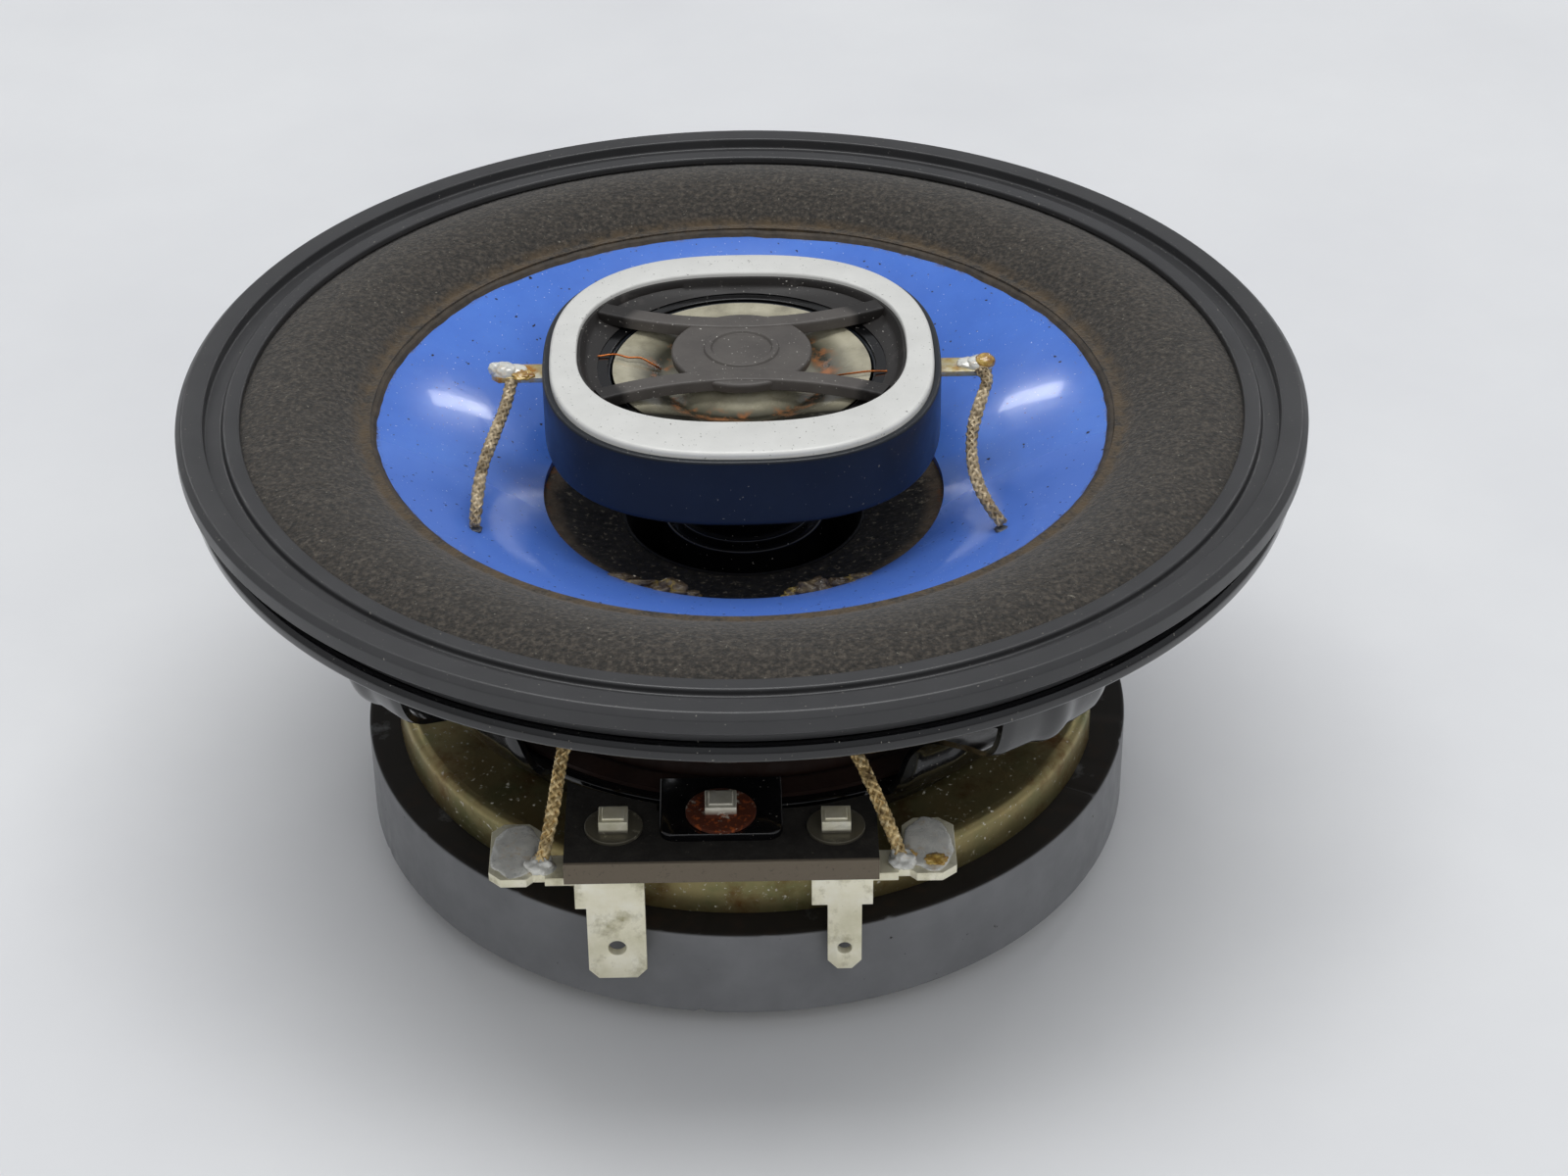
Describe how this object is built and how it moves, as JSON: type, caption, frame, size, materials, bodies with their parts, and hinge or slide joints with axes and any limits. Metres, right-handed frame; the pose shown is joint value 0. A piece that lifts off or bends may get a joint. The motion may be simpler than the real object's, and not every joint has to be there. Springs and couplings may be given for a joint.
{
  "type": "coaxial car speaker",
  "caption": "Round two-way car speaker: a sprung cone sliding in a pressed steel basket, a small tweeter on a central post, a ring magnet behind and push-on terminals.",
  "frame": {"origin": "on the speaker's axis at the flat back face of the back plate", "axes": "+Z is the way the cone fires; the solder terminals face -Y and the larger tab is on -X"},
  "size_m": [0.096, 0.096, 0.0476],
  "materials": {
    "zinc_yellow_steel": "yellow passivated zinc plating",
    "ferrite": "ground dark grey",
    "painted_black_steel": "gloss black paint",
    "plain_steel": "plain steel",
    "grey_black_plastic": "satin moulded",
    "fibre_board": "black vulcanised fibre, punched",
    "tinned_brass": "tin plated",
    "rusty_steel_rivet": "tin plated with rust round the foot",
    "solder": "dull solder with flux",
    "black_plastic": "gloss moulded",
    "navy_plastic": "semi-gloss moulded",
    "silver_paint": "fine silver-white paint",
    "dark_grey_plastic": "satin moulded",
    "nickel_magnet": "nickel plated",
    "copper_wire": "enamelled copper",
    "capacitor_sleeve": "shrunk plastic sleeve",
    "blue_polypropylene": "smooth moulded",
    "pressed_fibre": "black felted fibre",
    "coil_former_paper": "black kraft",
    "brown_glue": "hardened brown glue",
    "grey_glue": "hardened grey glue",
    "surround_foam": "grey-black flexible foam",
    "spider_cloth": "resin dipped weave",
    "braided_copper": "braided tinsel lead",
    "clear_film": "thin formed polymer film"
  },
  "bodies": {
    "chassis": {"back_plate": "zinc_yellow_steel", "pole_piece": "zinc_yellow_steel", "magnet": "ferrite", "front_plate": "zinc_yellow_steel", "basket": "painted_black_steel", "basket_stakes": "plain_steel", "trim_ring": "grey_black_plastic", "terminal_board": "fibre_board", "board_rivet": "rusty_steel_rivet", "terminal_rivets": "tinned_brass", "positive_terminal": "tinned_brass", "negative_terminal": "tinned_brass", "terminal_solder": "solder", "tweeter_post": "black_plastic", "tweeter_housing": "navy_plastic", "tweeter_bezel": "silver_paint", "tweeter_guard": "dark_grey_plastic", "tweeter_clamp_ring": "dark_grey_plastic", "tweeter_yoke": "plain_steel", "tweeter_magnet": "nickel_magnet", "tweeter_top_plate": "plain_steel", "tweeter_tab_left": "tinned_brass", "tweeter_tab_right": "tinned_brass", "tweeter_solder": "solder", "tweeter_screw": "zinc_yellow_steel", "tweeter_coil_leads": "copper_wire", "crossover_capacitor": "capacitor_sleeve", "capacitor_wires": "tinned_brass"},
    "cone_assembly": {"cone": "blue_polypropylene", "cone_collar": "pressed_fibre", "coil_former": "coil_former_paper", "voice_coil": "copper_wire", "lead_glue": "brown_glue", "lead_anchors": "grey_glue", "edge_glue": "brown_glue", "surround": "surround_foam", "spider": "spider_cloth", "upper_lead_left": "braided_copper", "upper_lead_right": "braided_copper", "lower_lead_left": "braided_copper", "lower_lead_right": "braided_copper"},
    "tweeter_dome": {"tweeter_diaphragm": "clear_film", "tweeter_coil": "copper_wire"}
  },
  "joints": [
    {"name": "cone_travel", "type": "slide", "parent": "chassis", "child": "cone_assembly", "axis": [0, 0, 1], "range_m": [-0.003, 0.003], "stiffness_N_per_m": 1250, "deforming": ["surround", "spider", "upper_lead_left", "upper_lead_right", "lower_lead_left", "lower_lead_right"]},
    {"name": "tweeter_travel", "type": "slide", "parent": "chassis", "child": "tweeter_dome", "axis": [0, 0, 1], "range_m": [-0.0002, 0.0002], "stiffness_N_per_m": 2000}
  ]
}
